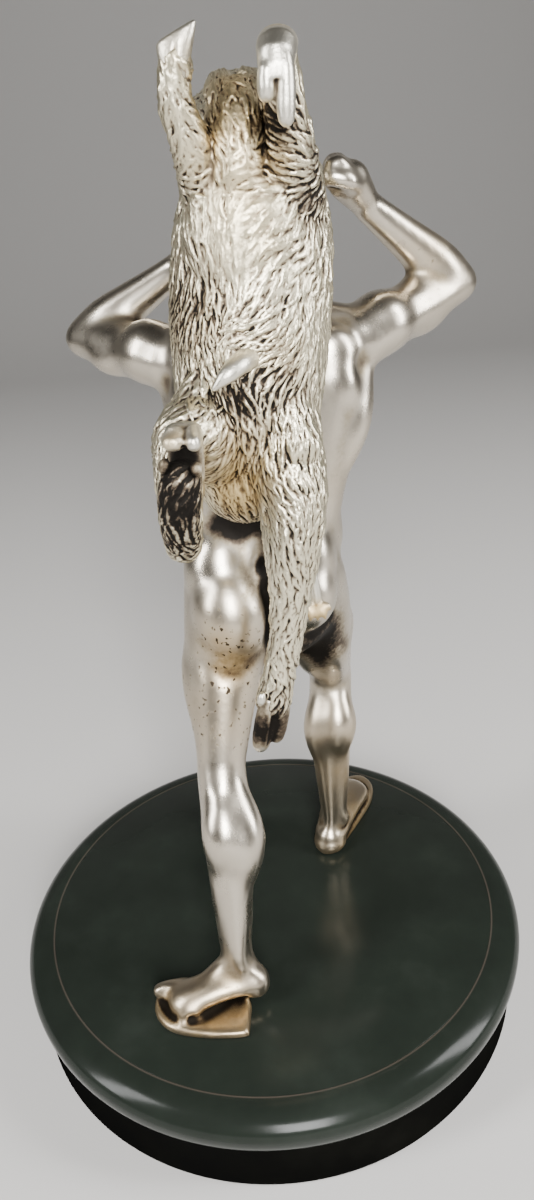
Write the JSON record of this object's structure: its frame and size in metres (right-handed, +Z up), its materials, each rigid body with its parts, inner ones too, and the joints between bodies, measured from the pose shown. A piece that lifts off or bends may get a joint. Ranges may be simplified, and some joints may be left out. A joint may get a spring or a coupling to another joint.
{
  "type": "hercules statue",
  "caption": "Silvered cast figure of a striding classical hero carrying a boar down his back, standing on a turned round dark plinth.",
  "frame": {"origin": "centre of the plinth's underside, on its axis", "axes": "+Z up, the hero walks towards +Y, and the boar hangs down his back on the -Y side"},
  "size_m": [0.1002, 0.1002, 0.1711],
  "materials": {
    "plinth_stone": "polished near-black green",
    "silvered_casting": "satin antique silver with dark oxidised hollows"
  },
  "bodies": {
    "root": {"plinth": "plinth_stone", "hero_and_boar": "silvered_casting"}
  },
  "joints": []
}
